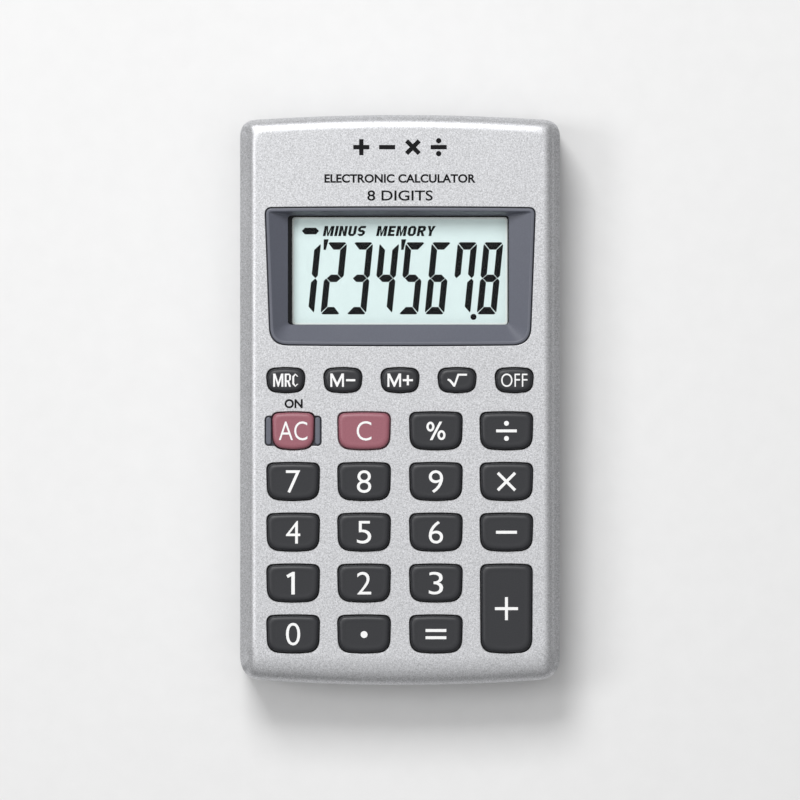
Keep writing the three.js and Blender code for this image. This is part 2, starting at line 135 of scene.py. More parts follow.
def ramp(material, factor, stops, interpolation="LINEAR"):
    node = add_node(material, "ValToRGB", {"Fac": factor})
    node.color_ramp.interpolation = interpolation
    while len(node.color_ramp.elements) < len(stops):
        node.color_ramp.elements.new(0.5)
    for element, (place, colour) in zip(node.color_ramp.elements, stops):
        element.position = place
        element.color = (*colour, 1)
    return node.outputs["Color"]


def spread(material, factor, low, high, start=0.3, end=0.7):
    """The factor's middle stretched over low to high."""
    inputs = {"From Min": start, "From Max": end, "To Min": low, "To Max": high, "Value": factor}
    return add_node(material, "MapRange", inputs).outputs["Result"]


def combined(material, operation, one, other):
    return add_node(material, "Math", {0: one, 1: other}, operation=operation).outputs[0]


def bump(material, height, strength, depth):
    inputs = {"Strength": strength, "Distance": depth, "Height": height}
    return add_node(material, "Bump", inputs).outputs["Normal"]


def shade(colour, factor):
    return tuple(min(1.0, channel * factor) for channel in colour)


def moulded(name, colour, rough=0.45, texture=3200, contrast=0.1, relief=0.15, **values):
    """Moulded plastic with a spark-eroded texture, slight colour mottling and uneven gloss."""
    material, shader = new_material(name, **values)
    fine = grain(material, texture, 3)
    broad = grain(material, 120, 2)
    stops = [(0.3, shade(colour, 1 - contrast)), (0.7, shade(colour, 1 + contrast))]
    feed(material, shader.inputs, {
        "Base Color": ramp(material, fine, stops),
        "Roughness": spread(material, broad, rough - 0.03, rough + 0.03),
        "Normal": bump(material, fine, relief, SPARK_DEPTH),
    })
    return material


def silver_paint():
    """Metallic paint: flakes of uneven brightness under a satin coat."""
    material, shader = new_material("silver_paint", Metallic=0.75, Coat_Weight=0.1, Coat_Roughness=0.3)
    flakes = grain(material, 2300, 4, 0.75)
    specks = grain(material, 5200, 1, 0.5)
    broad = grain(material, 60, 2)
    mean = combined(material, "MULTIPLY", combined(material, "ADD", flakes, specks), 0.5)
    base = (0.595, 0.6, 0.618)
    stops = [(0.36, shade(base, 0.7)), (0.5, base), (0.64, shade(base, 1.3))]
    feed(material, shader.inputs, {
        "Base Color": ramp(material, mean, stops),
        "Roughness": spread(material, broad, 0.44, 0.5),
        "Normal": bump(material, mean, 0.12, SPARK_DEPTH),
    })
    return material


def clear_plate(name):
    """Clear plate: lets what is under it through, with gloss at its surface."""
    material = bpy.data.materials.new(name)
    material.use_nodes = True
    nodes = material.node_tree.nodes
    nodes.remove(nodes["Principled BSDF"])
    through = add_node(material, "BsdfTransparent", {"Color": (0.97, 0.99, 0.985, 1)})
    rough = spread(material, grain(material, 40, 1), 0.03, 0.08)
    gloss = add_node(material, "BsdfGlossy", {"Roughness": rough})
    fresnel = add_node(material, "Fresnel", {"IOR": 1.22}).outputs["Fac"]
    back = add_node(material, "NewGeometry").outputs["Backfacing"]
    share = combined(material, "MULTIPLY", fresnel, combined(material, "SUBTRACT", 1, back))
    inputs = {"Fac": share, 1: through.outputs["BSDF"], 2: gloss.outputs["BSDF"]}
    mix = add_node(material, "MixShader", inputs)
    feed(material, nodes["Material Output"].inputs, {"Surface": mix.outputs["Shader"]})
    return material


def plated(name, colour, rough=0.25, stretch=(1, 1, 1)):
    """Plated or turned metal with fine lines in its colour and gloss."""
    material, shader = new_material(name, Metallic=1.0)
    lines = grain(material, 1500, 3, 0.6, stretch)
    feed(material, shader.inputs, {
        "Base Color": ramp(material, lines, [(0.3, shade(colour, 0.85)), (0.7, colour)]),
        "Roughness": spread(material, lines, rough, rough + 0.15),
        "Normal": bump(material, lines, 0.1, 0.00002),
    })
    return material


def board_laminate():
    """Phenolic board: brown laminate under lacquer, with the copper tracks showing as paler lines."""
    material, shader = new_material("board_laminate", Coat_Weight=0.4)
    tracks = add_node(material, "TexBrick", {
        "Scale": 260,
        "Mortar Size": 0.06,
        "Color1": (0.33, 0.19, 0.07, 1),
        "Color2": (0.29, 0.17, 0.06, 1),
        "Mortar": (0.48, 0.33, 0.12, 1),
        "Vector": add_node(material, "TexCoord").outputs["Object"],
    })
    rough = spread(material, grain(material, 900, 2), 0.35, 0.5)
    feed(material, shader.inputs, {"Base Color": tracks.outputs["Color"], "Roughness": rough})
    return material


def cell_jacket(left, right):
    """Printed jacket: dark body with a copper band at the positive end."""
    material, shader = new_material("cell_jacket", Metallic=0.6, Coat_Weight=0.5)
    place = add_node(material, "TexCoord").outputs["Object"]
    split = add_node(material, "SeparateXYZ", {"Vector": place})
    along = spread(material, split.outputs["X"], 0, 1, left * MM, right * MM)
    stops = [
        (0.0, (0.03, 0.05, 0.09)),
        (0.66, (0.62, 0.60, 0.56)),
        (0.68, (0.55, 0.25, 0.07)),
        (0.985, (0.62, 0.60, 0.56)),
    ]
    feed(material, shader.inputs, {
        "Base Color": ramp(material, along, stops, "CONSTANT"),
        "Roughness": spread(material, grain(material, 400, 2), 0.22, 0.34),
    })
    return material


PAINT = silver_paint()
REAR_PLASTIC = moulded("rear_plastic", (0.30, 0.305, 0.32), 0.5, 1800, 0.08, 0.35)
GREY_PLASTIC = moulded("grey_plastic", (0.118, 0.125, 0.155), 0.4, 3600, 0.06, 0.08)
KEY_DARK = moulded("key_dark", (0.024, 0.025, 0.029), 0.42, 3600, 0.12, 0.12, Specular_IOR_Level=0.4)
KEY_MAROON = moulded("key_maroon", (0.31, 0.105, 0.135), 0.4, 3600, 0.08, 0.12)
LEGEND_WHITE = moulded("legend_white", (0.9, 0.9, 0.9), 0.5, 2600, 0.03, 0.05)
PRINT_BLACK = moulded("print_black", (0.004, 0.004, 0.005), 0.5, 2600, 0.2, 0.05, Specular_IOR_Level=0.15)
SEGMENT_BLACK = moulded("segment_black", (0.003, 0.003, 0.004), 0.5, 2600, 0.2, 0.02, Specular_IOR_Level=0.1)
FILM = moulded("polariser_film", (0.76, 0.835, 0.845), 0.3, 500, 0.015, 0.01)
SILICONE = moulded("silicone", (0.42, 0.44, 0.46), 0.6, 900, 0.06, 0.1, Subsurface_Weight=0.1)
RESIN = moulded("black_resin", (0.012, 0.012, 0.012), 0.2, 300, 0.2, 0.1)
CERAMIC = moulded("capacitor_body", (0.40, 0.18, 0.06), 0.45, 900, 0.1, 0.1)
CONNECTOR = moulded("connector_rubber", (0.60, 0.32, 0.30), 0.55, 1500, 0.2, 0.1)
RED = moulded("red_insulation", (0.50, 0.02, 0.02), 0.35, 600, 0.08, 0.05)
BLACK = moulded("black_insulation", (0.02, 0.02, 0.02), 0.35, 600, 0.15, 0.05)
NICKEL = plated("plated_steel", (0.66, 0.65, 0.62), 0.22, (1, 6, 6))
ZINC = plated("screw_steel", (0.58, 0.58, 0.58), 0.28)
WINDOW = clear_plate("clear_window")
GLASS = clear_plate("lcd_glass")
BOARD = board_laminate()


# Mesh tools, in millimetres

def crowned(width, height, top, foot, crown=0.12, taper=0.1, at=(0, 0), corner_steps=8, crown_steps=12,
            foot_crown=None):
    """An outline with crowned ends, anticlockwise, as the CAD draws it but with more points."""
    foot_crown = crown if foot_crown is None else foot_crown
    side = width / 2
    low = side - taper
    end = height / 2 - crown
    base = height / 2 - foot_crown
    stretches = [
        ((-side, end - top), (-side, end), (-side + top, end), corner_steps),
        ((-side + top, end), (0, end + 2 * crown), (side - top, end), crown_steps),
        ((side - top, end), (side, end), (side, end - top), corner_steps),
        ((side, end - top), ((side + low) / 2, (foot - top) / 2), (low, -base + foot), 2),
        ((low, -base + foot), (low, -base), (low - foot, -base), corner_steps),
        ((low - foot, -base), (0, -base - 2 * foot_crown), (-low + foot, -base), crown_steps),
        ((-low + foot, -base), (-low, -base), (-low, -base + foot), corner_steps),
        ((-low, -base + foot), (-(side + low) / 2, (foot - top) / 2), (-side, end - top), 2),
    ]
    points = []
    for start, pull, stop, steps in stretches:
        for step in range(steps):
            t = step / steps
            a, b, c = (1 - t) ** 2, 2 * t * (1 - t), t * t
            points.append((
                at[0] + a * start[0] + b * pull[0] + c * stop[0],
                at[1] + a * start[1] + b * pull[1] + c * stop[1],
            ))
    return points[::-1]


def case_outline(inset, **steps):
    return crowned(
        WIDTH - 2 * inset,
        LENGTH - 2 * inset,
        max(CORNER_TOP - inset, 0.8),
        max(CORNER_FOOT - inset, 0.8),
        CROWN,
        0,
        **steps,
    )


def grown(outline, by):
    """The outline moved outwards by a distance, each point along its own normal."""
    count = len(outline)
    result = []
    for i, (x, y) in enumerate(outline):
        before, after = outline[i - 1], outline[(i + 1) % count]
        dx, dy = after[0] - before[0], after[1] - before[1]
        size = math.hypot(dx, dy) or 1
        result.append((x + by * dy / size, y - by * dx / size))
    return result


def level(outline, z):
    return [(x, y, z) for x, y in outline]


def rounded_box(low, high, radius, steps=5):
    """A box outline with round corners, anticlockwise."""
    x0, y0 = low
    x1, y1 = high
    corners = [(x1 - radius, y0 + radius, -90), (x1 - radius, y1 - radius, 0),
               (x0 + radius, y1 - radius, 90), (x0 + radius, y0 + radius, 180)]
    points = []
    for cx, cy, start in corners:
        for step in range(steps + 1):
            angle = math.radians(start + 90 * step / steps)
            points.append((cx + radius * math.cos(angle), cy + radius * math.sin(angle)))
    return points


def turns(steps):
    return [2 * math.pi * i / steps for i in range(steps)]


def circle(x, y, radius, steps=32):
    return [(x + radius * math.cos(a), y + radius * math.sin(a)) for a in turns(steps)]


def within(point, outline):
    """Whether a point lies inside an outline, by counting the edges to its right."""
    inside = False
    for (x1, y1), (x2, y2) in zip(outline, outline[1:] + outline[:1]):
        if (y1 > point.y) != (y2 > point.y):
            inside ^= point.x < x1 + (x2 - x1) * (point.y - y1) / (y2 - y1)
    return inside


class Shell:
    """A mesh that grows from rings of points joined by bands, with flat ends that may have holes."""

    def __init__(self):
        self.bm = bmesh.new()

    def ring(self, points):
        return [self.bm.verts.new(Vector(p) * MM) for p in points]

    def band(self, one, other):
        count = len(one)
        for i in range(count):
            j = (i + 1) % count
            self.bm.faces.new((one[i], one[j], other[j], other[i]))

    def loft(self, rings):
        made = [self.ring(points) for points in rings]
        for one, other in zip(made, made[1:]):
            self.band(one, other)
        return made[0], made[-1]

    def flat(self, rings, up=True):
        """Flat triangles between an outer ring and the holes in it."""
        verts, edges = [], []
        for ring in rings:
            start, count = len(verts), len(ring)
            verts += ring
            edges += [(start + i, start + (i + 1) % count) for i in range(count)]
        points = [Vector((vert.co.x / MM, vert.co.y / MM)) for vert in verts]
        _, _, faces, sources, _, _ = delaunay_2d_cdt(points, edges, [], INSIDE_ONLY, 1e-6)
        holes = [[(vert.co.x, vert.co.y) for vert in ring] for ring in rings[1:]]
        for face in faces:
            corners = [verts[sources[i][0]] for i in face]
            middle = sum((vert.co for vert in corners), Vector()) / 3
            if not any(within(middle, hole) for hole in holes):
                self.bm.faces.new(corners if up else corners[::-1])

    def cap(self, ring):
        self.bm.faces.new(ring)

    def capped(self, rings):
        """A solid lofted through rings and closed at both ends."""
        first, last = self.loft(rings)
        self.cap(first)
        self.cap(last)

    def looped(self, rings):
        """A hollow ring: a loft whose last ring joins its first."""
        first, last = self.loft(rings)
        self.band(last, first)

    def finish(self, name, material, sharp=35, weighted=True):
        bmesh.ops.recalc_face_normals(self.bm, faces=self.bm.faces[:])
        mesh = bpy.data.meshes.new(name)
        self.bm.to_mesh(mesh)
        self.bm.free()
        return place(name, mesh, material, sharp, weighted)


def place(name, mesh, material, sharp=35, weighted=True):
    """A mesh as a smooth object, with its sharp edges marked."""
    mesh.materials.clear()
    mesh.materials.append(material)
    for polygon in mesh.polygons:
        polygon.use_smooth = True
    mesh.set_sharp_from_angle(angle=math.radians(sharp))
    piece = bpy.data.objects.new(name, mesh)
    SCENE.collection.objects.link(piece)
    if weighted:
        normals = piece.modifiers.new("normals", "WEIGHTED_NORMAL")
        normals.keep_sharp = True
        normals.weight = 100
    return piece


def rides_on(piece, node):
    """The piece on the node's body."""
    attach(piece, BODY_OF[node])


def stands_for(piece, node):
    rides_on(piece, node)
    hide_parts(node)
    return piece


def shoulder_profile(t, side, weight):
    """How far in and up the shoulder is at t. Towards the sides it is a flat bevel, a step and a curve."""
    s, h = 1 - math.cos(math.pi / 2 * t), math.sin(math.pi / 2 * t)
    step_in, step_up = STEP_IN[side], STEP_UP[side]
    bevel = 0.4
    if t < bevel:
        share = t / bevel
        s_step, h_step = step_in * share, step_up * share
    else:
        share = (t - bevel) / (1 - bevel)
        s_step = step_in + (1 - step_in) * share
        h_step = step_up + (1 - step_up) * (1 - (1 - share) ** 2)
    return s + (s_step - s) * weight, h + (h_step - h) * weight


def shoulder_rings(outer, inner, starts, steps):
    """Rings from the case's outline up to the edge of its face."""
    count = len(outer)
    leans = []
    for i in range(count):
        before, after = outer[i - 1], outer[(i + 1) % count]
        dx, dy = after[0] - before[0], after[1] - before[1]
        leans.append(dy / math.hypot(dx, dy))
    rings = []
    for step in range(steps + 1):
        ring = []
        for a, b, z, lean in zip(outer, inner, starts, leans):
            weight = min(1, max(0, (abs(lean) - 0.5) / 0.45))
            s, h = shoulder_profile(step / steps, "right" if lean > 0 else "left", weight * weight)
            start = z + (FACE - SHOULDER_DROP["side"] - z) * weight * weight
            ring.append((a[0] + (b[0] - a[0]) * s, a[1] + (b[1] - a[1]) * s, start + (FACE - start) * h))
        rings.append(ring)
    return rings


def quarter(outer, inner, z_low, z_high, steps):
    """Rings that turn from an upright wall at the outer outline to level at the inner one."""
    rings = []
    for step in range(steps + 1):
        angle = math.pi / 2 * step / steps
        s, h = 1 - math.cos(angle), math.sin(angle)
        rings.append([
            (a[0] + (b[0] - a[0]) * s, a[1] + (b[1] - a[1]) * s, z + (z_high - z) * h)
            for a, b, z in zip(outer, inner, z_low)
        ])
    return rings


# Keys

def key_measure(node):
    """Centre, cap width, cap height and flange top of a key, from its CAD box."""
    low, high = box_mm(node)
    centre = ((low[0] + high[0]) / 2, (low[1] + high[1]) / 2)
    return centre, high[0] - low[0] - 2 * FLANGE_RIM, high[1] - low[1] - 2 * FLANGE_RIM, low[2], high[2]


def corner_sizes(height):
    """Upper and lower corner of a cap. The small oval keys are rounder at the top."""
    return (2.1, 2.5) if height < 6 else (1.6, 3.0)


def key_outline(node, grow=0.0, **steps):
    centre, width, height, _, _ = key_measure(node)
    top, foot = corner_sizes(height)
    return crowned(width + 2 * grow, height + 2 * grow, top, foot, at=centre, **steps)


# The top of a cap, as how far in from its side and how far below its top
CAP_TOP = [
    (0.0, 0.62), (0.03, 0.48), (0.1, 0.36), (0.3, 0.2), (0.52, 0.1), (0.78, 0.045),
    (0.95, 0.035), (1.15, 0.045), (1.4, 0.065), (1.65, 0.07),
]


def key_cap(node):
    """A cap with a chamfered rim, a slightly sunk field and the flange that keeps it in the case."""
    (cx, cy), width, height, low, high = key_measure(node)
    outline = key_outline(node)

    def ring(inset, z):
        scale_x = (width / 2 - inset) / (width / 2)
        scale_y = (height / 2 - inset) / (height / 2)
        return [(cx + (x - cx) * scale_x, cy + (y - cy) * scale_y, z) for x, y in outline]

    flange_top = low + 1.3
    shell = Shell()
    rings = [
        ring(-FLANGE_RIM, low),
        ring(-FLANGE_RIM, flange_top),
        ring(0.02, flange_top),
        ring(0.0, flange_top + 0.1),
    ]
    shell.capped(rings + [ring(inset, high - below) for inset, below in CAP_TOP])
    maroon = SLOT_OF[node] == "key_maroon"
    piece = shell.finish(f"cap_{node[4:]}", KEY_MAROON if maroon else KEY_DARK, 50)
    return stands_for(piece, node)


for key in KEY_NODES:
    key_cap(key)


# Front cover

def ac_opening(grow=0.0):
    """The guarded key's opening, with an ear either side for the guard's ribs."""
    outline = key_outline("key_ac", KEY_GAP + grow)
    (cx, cy), _, _, _, _ = key_measure("key_ac")
    ear = RIB["off"] + RIB["half_width"] + KEY_GAP + grow
    reach = RIB["half_length"] + KEY_GAP + grow
    radius = 0.8
    result = []
    count = len(outline)
    for i, (x, y) in enumerate(outline):
        nx, ny = outline[(i + 1) % count]
        inside, after = abs(y - cy) < reach, abs(ny - cy) < reach
        if not inside:
            result.append((x, y))
        if inside != after:
            edge = cy + math.copysign(reach, (y if not inside else ny) - cy)
            share = (edge - y) / (ny - y)
            result.append((x + share * (nx - x), edge))
            if not inside:
                side = math.copysign(1, x - cx)
                start = -1 if edge < cy else 1
                for end in (start, -start):
                    for step in range(6):
                        turn = step / 5 if end == start else 1 - step / 5
                        angle = math.pi / 2 * (1 - turn)
                        result.append((
                            cx + side * (ear - radius + radius * math.cos(angle)),
                            cy + end * (reach - radius + radius * math.sin(angle)),
                        ))
    return result


def bezel_outline(grow=0.0):
    low, high = box_mm("display_bezel")
    width = high[0] - low[0] - 2 * BEZEL_RIM
    height = high[1] - low[1] - 2 * BEZEL_RIM
    centre = ((low[0] + high[0]) / 2, (low[1] + high[1]) / 2)
    return crowned(width + 2 * grow, height + 2 * grow, 1.3 + grow, 4 + grow, 0.15, 0.9, centre, 10, 16)


def front_cover():
    outer = case_outline(0, corner_steps=16, crown_steps=28)
    side, top, foot = SHOULDER["side"], SHOULDER["top"], SHOULDER["foot"]
    face = crowned(
        WIDTH - 2 * side, LENGTH - top - foot, 2.4, 3.4, CROWN, 0,
        (0, (foot - top) / 2), 16, 28, FACE_FOOT_CROWN,
    )
    starts = []
    for _, y in outer:
        share = min(1, max(0, (y + LENGTH / 2) / 14))
        share = share * share * (3 - 2 * share)
        drop = SHOULDER_DROP["foot"] + (SHOULDER_DROP["top"] - SHOULDER_DROP["foot"]) * share
        starts.append(FACE - drop)
    inner = case_outline(WALL, corner_steps=16, crown_steps=28)
    ceiling = FACE - PLATE
    under = crowned(WIDTH - 2 * 3.2, LENGTH - 3.2 - 5.4, 1.6, 2.4, CROWN, 0, (0, 1.1), 16, 28)
    shell = Shell()
    rings = [level(grown(outer, -0.2), PARTING), level(outer, PARTING + 0.2)]
    rings += shoulder_rings(outer, face, starts, 20)
    first, rim = shell.loft(rings)
    rings = [level(inner, PARTING), level(inner, ceiling - 2.2), level(under, ceiling)]
    foot_ring, ceiling_ring = shell.loft(rings)
    shell.band(first, foot_ring)
    tops, unders = [rim], [ceiling_ring]
    openings = [key_outline(node, KEY_GAP) for node in KEY_NODES if node != "key_ac"]
    openings += [ac_opening(), bezel_outline(KEY_GAP)]
    for outline in openings:
        lip = quarter(outline, grown(outline, LIP), [FACE - LIP] * len(outline), FACE, 3)
        low_ring, high_ring = shell.loft([level(outline, ceiling), *lip])
        tops.append(high_ring)
        unders.append(low_ring)
    shell.flat(tops)
    shell.flat(unders, up=False)
    return stands_for(shell.finish("front_shell", PAINT, 40), "front_cover")


front_cover()


# Lettering and marks, as thin raised shapes

def stretched(mesh, centre, width, height, z_low, z_high):
    """The mesh scaled and moved so that its box is width by height about the centre."""
    low = [min(v.co[i] for v in mesh.vertices) for i in range(3)]
    high = [max(v.co[i] for v in mesh.vertices) for i in range(3)]
    aims = [(centre[0] - width / 2, width), (centre[1] - height / 2, height), (z_low, z_high - z_low)]
    for vert in mesh.vertices:
        for i, (start, size) in enumerate(aims):
            vert.co[i] = (start + size * (vert.co[i] - low[i]) / (high[i] - low[i])) * MM


def worded(name, words, centre, size, levels, material, bold=0.0):
    """Words set in the built-in face, stretched to a measured width and height."""
    curve = bpy.data.curves.new(name, "FONT")
    curve.body = words
    curve.offset = bold
    curve.extrude = 0.05
    curve.resolution_u = 5
    holder = bpy.data.objects.new(name, curve)
    SCENE.collection.objects.link(holder)
    mesh = bpy.data.meshes.new_from_object(holder.evaluated_get(bpy.context.evaluated_depsgraph_get()))
    bpy.data.objects.remove(holder)
    stretched(mesh, centre, *size, *levels)
    shell = bmesh.new()
    shell.from_mesh(mesh)
    bmesh.ops.remove_doubles(shell, verts=shell.verts[:], dist=0.002 * MM)
    bmesh.ops.dissolve_degenerate(shell, edges=shell.edges[:], dist=0.001 * MM)
    bmesh.ops.dissolve_limit(shell, angle_limit=0.02, verts=shell.verts[:], edges=shell.edges[:])
    bmesh.ops.recalc_face_normals(shell, faces=shell.faces[:])
    if shell.calc_volume(signed=True) < 0:
        bmesh.ops.reverse_faces(shell, faces=shell.faces[:])
    shell.to_mesh(mesh)
    shell.free()
    return place(name, mesh, material, 35, False)


def raised(name, shapes, levels, material):
    """Flat shapes given thickness. Each shape is an outline followed by the outlines of its holes."""
    z_low, z_high = levels
    shell = Shell()
    for shape in shapes:
        lows, highs = [], []
        for outline in shape:
            low, high = shell.loft([level(outline, z_low), level(outline, z_high)])
            lows.append(low)
            highs.append(high)
        if len(shape) == 1:
            shell.cap(lows[0])
            shell.cap(highs[0])
        else:
            shell.flat(lows, up=False)
            shell.flat(highs)
    return shell.finish(name, material, 35, False)


def bar(x, y, width, height):
    return [(x - width / 2, y - height / 2), (x + width / 2, y - height / 2),
            (x + width / 2, y + height / 2), (x - width / 2, y + height / 2)]


def block_letter(letter, w, h, s):
    """A plain block capital as outlines, from its lower left corner, with stroke s."""
    r = 0.22 * h
    ring = [(0, r), (r, 0), (w - r, 0), (w, r), (w, h - r), (w - r, h), (r, h), (0, h - r)]
    t = 0.8 * s
    hole = [(s, r + 0.1), (r + 0.1, t), (w - r - 0.1, t), (w - s, r + 0.1), (w - s, h - r - 0.1),
            (w - r - 0.1, h - t), (r + 0.1, h - t), (s, h - r - 0.1)]
    middle = h / 2
    shapes = {
        "M": [[(0, 0), (s, 0), (s, 0.69 * h), (w / 2 - 0.25 * s, 0), (w / 2 + 0.25 * s, 0),
               (w - s, 0.69 * h), (w - s, 0), (w, 0), (w, h), (w - 1.2 * s, h), (w / 2, 0.32 * h),
               (1.2 * s, h), (0, h)]],
        "I": [[(0, 0), (s, 0), (s, h), (0, h)]],
        "N": [[(0, 0), (s, 0), (s, 0.62 * h), (w - s, 0), (w, 0), (w, h), (w - s, h),
               (w - s, 0.38 * h), (s, h), (0, h)]],
        "U": [[(0, h), (0, r), (r, 0), (w - r, 0), (w, r), (w, h), (w - s, h), (w - s, r + 0.1),
               (w - r - 0.1, t), (r + 0.1, t), (s, r + 0.1), (s, h)]],
        "S": [[(0, r), (r, 0), (w - r, 0), (w, r), (w, middle - 0.1), (w - r, middle + t / 2),
               (r + 0.1, middle + t / 2), (s, middle + 0.3), (s, h - r), (r + 0.1, h - t),
               (w, h - t), (w, h), (r, h), (0, h - r),
               (0, middle + 0.1), (r, middle - t / 2), (w - r - 0.1, middle - t / 2), (w - s, middle - 0.3),
               (w - s, r), (w - r - 0.1, t), (0, t)]],
        "C": [[(w, r), (w - r, 0), (r, 0), (0, r), (0, h - r), (r, h), (w - r, h), (w, h - r),
               (w - 0.8 * s, h - r), (w - r - 0.05, h - t), (r + 0.1, h - t), (s, h - r - 0.1),
               (s, r + 0.1), (r + 0.1, t),
               (w - r - 0.05, t), (w - 0.8 * s, r)]],
        "E": [[(0, 0), (w, 0), (w, t), (s, t), (s, middle - t / 2), (0.9 * w, middle - t / 2),
               (0.9 * w, middle + t / 2), (s, middle + t / 2), (s, h - t), (w, h - t), (w, h), (0, h)]],
        "O": [ring, hole],
        "R": [[(0, 0), (s, 0), (s, 0.38 * h), (0.42 * w, 0.38 * h), (w - s, 0), (w, 0), (0.72 * w, 0.42 * h),
               (w, 0.55 * h), (w, h - 0.6 * r), (w - 0.6 * r, h), (0, h)],
              [(s, 0.38 * h + t), (w - s, 0.38 * h + t), (w - s, h - t), (s, h - t)]],
        "Y": [[(w / 2 - s / 2, 0), (w / 2 + s / 2, 0), (w / 2 + s / 2, 0.42 * h), (w, h), (w - 1.1 * s, h),
               (w / 2, 0.58 * h), (1.1 * s, h), (0, h), (w / 2 - s / 2, 0.42 * h)]],
    }
    return shapes[letter]


def block_words(letters, x, y, h, stroke, widths, gap, lean):
    """A word in block capitals from a left edge, leaning by a slope."""
    shapes = []
    for letter in letters:
        w = widths[letter]
        outlines = block_letter(letter, w, h, stroke)
        shapes.append([[(x + px + (py - h / 2) * lean, y - h / 2 + py) for px, py in outline]
                       for outline in outlines])
        x += w + gap
    return shapes


def plus_sign(x, y, size, stroke, turn=0.0):
    arm, half = size / 2, stroke / 2
    points = [(half, half), (half, arm), (-half, arm), (-half, half), (-arm, half), (-arm, -half),
              (-half, -half), (-half, -arm), (half, -arm), (half, -half), (arm, -half), (arm, half)]
    c, s = math.cos(turn), math.sin(turn)
    return [(x + px * c - py * s, y + px * s + py * c) for px, py in points]


def oval(x, y, width, height, steps=24):
    return [(x + width / 2 * math.cos(a), y + height / 2 * math.sin(a)) for a in turns(steps)]


def sign_shapes(sign, x, y):
    """The generic operator signs, drawn to the size of the key legends."""
    if sign == "plus":
        return [[plus_sign(x, y, 5.0, 0.64)]]
    if sign == "multiply":
        return [[plus_sign(x, y, 5.3, 0.62, math.pi / 4)]]
    if sign == "minus":
        return [[bar(x, y, 4.55, 0.64)]]
    if sign == "divide":
        return [[bar(x, y, 4.5, 0.62)], [circle(x, y + 1.64, 0.53)], [circle(x, y - 1.64, 0.53)]]
    if sign == "equals":
        return [[bar(x, y + 0.78, 4.5, 0.64)], [bar(x, y - 0.78, 4.5, 0.64)]]
    if sign == "point":
        return [[circle(x, y - 0.1, 0.75)]]
    if sign == "one":
        return [[[(x + 0.37, y - 2.45), (x + 0.37, y + 2.45), (x - 0.15, y + 2.45), (x - 1.45, y + 1.72),
                  (x - 1.15, y + 1.12), (x - 0.38, y + 1.55), (x - 0.38, y - 2.45)]]]
    if sign == "percent":
        slash = [(x - 1.35, y - 2.0), (x - 0.75, y - 2.0), (x + 1.35, y + 2.0), (x + 0.75, y + 2.0)]
        rings = [[oval(x + dx, y + dy, 1.75, 2.15), oval(x + dx, y + dy, 0.75, 1.15)]
                 for dx, dy in ((-1.2, 0.92), (1.2, -0.92))]
        return [[slash], *rings]
    root = [(x - 2.15, y + 0.05), (x - 1.95, y + 0.35), (x - 1.35, y + 0.1), (x - 0.65, y - 0.75),
            (x + 0.1, y + 1.4), (x + 2.15, y + 1.4), (x + 2.15, y + 0.98), (x + 0.42, y + 0.98),
            (x - 0.45, y - 1.4), (x - 0.8, y - 1.4), (x - 1.6, y - 0.35), (x - 1.85, y - 0.15)]
    return [[root]]


KEY_WORDS = {"ac": ("AC", (6.2, 4.1)), "c": ("C", (3.2, 4.2)), "off": ("OFF", (5.7, 2.9))}
NUMERAL_SIZE = (3.1, 4.9)
LEGEND_BOLD = -0.006
LEGEND_DEPTH = 0.2
RECALL_WIDTHS = {"M": 2.2, "R": 1.35, "C": 1.3}
MEMORY_SIGNS = {"m_minus": bar(1.7, 0, 2.0, 0.46), "m_plus": plus_sign(1.7, 0, 2.2, 0.46)}


def legend(node):
    name = node[4:]
    (cx, cy), _, _, _, high = key_measure(node)
    levels = (high - LEGEND_DEPTH, high)
    label = f"legend_{name}"
    if name in KEY_WORDS or (name.isdigit() and name != "1"):
        words, size = KEY_WORDS.get(name, (name, NUMERAL_SIZE))
        piece = worded(label, words, (cx, cy), size, levels, LEGEND_WHITE, LEGEND_BOLD)
    elif name in MEMORY_SIGNS:
        shapes = [[[(cx + x, cy + y) for x, y in MEMORY_SIGNS[name]]]]
        shapes += block_words("M", cx - 2.72, cy, 2.9, 0.42, {"M": 2.95}, 0, 0)
        piece = raised(label, shapes, levels, LEGEND_WHITE)
    elif name == "mrc":
        shapes = block_words("MRC", cx - 2.72, cy, 2.85, 0.4, RECALL_WIDTHS, 0.3, 0)
        piece = raised(label, shapes, levels, LEGEND_WHITE)
    else:
        shapes = sign_shapes("one" if name == "1" else name, cx, cy)
        piece = raised(label, shapes, levels, LEGEND_WHITE)
    rides_on(piece, node)


for key in KEY_NODES:
    legend(key)


PRINT_LEVELS = (FACE - 0.03, FACE + 0.02)
PRINTS = [
    ("print_on", "ON", (-23.1, -0.8), (3.95, 2.0), 0.035),
    ("print_kind", "ELECTRONIC CALCULATOR", (0, 48.1), (32.8, 1.9), 0.03),
    ("print_digits", "8 DIGITS", (0, 44.4), (14.2, 2.25), 0.012),
]
for name, words, centre, size, bold in PRINTS:
    rides_on(worded(name, words, centre, size, PRINT_LEVELS, PRINT_BLACK, bold), "front_cover")


def signs_row():
    """The row of the four operator signs at the head of the case."""
    y, size, stroke, pitch = 54.9, 3.5, 0.95, 5.6
    shapes = [
        [plus_sign(-1.5 * pitch, y, size, stroke)],
        [bar(-0.5 * pitch, y, size, stroke)],
        [plus_sign(0.5 * pitch, y, 1.12 * size, stroke, math.pi / 4)],
        [bar(1.5 * pitch, y, size, stroke)],
    ]
    shapes += [[circle(1.5 * pitch, y + side * 1.4, 0.58)] for side in (-1, 1)]
    rides_on(raised("print_signs", shapes, PRINT_LEVELS, PRINT_BLACK), "front_cover")


signs_row()


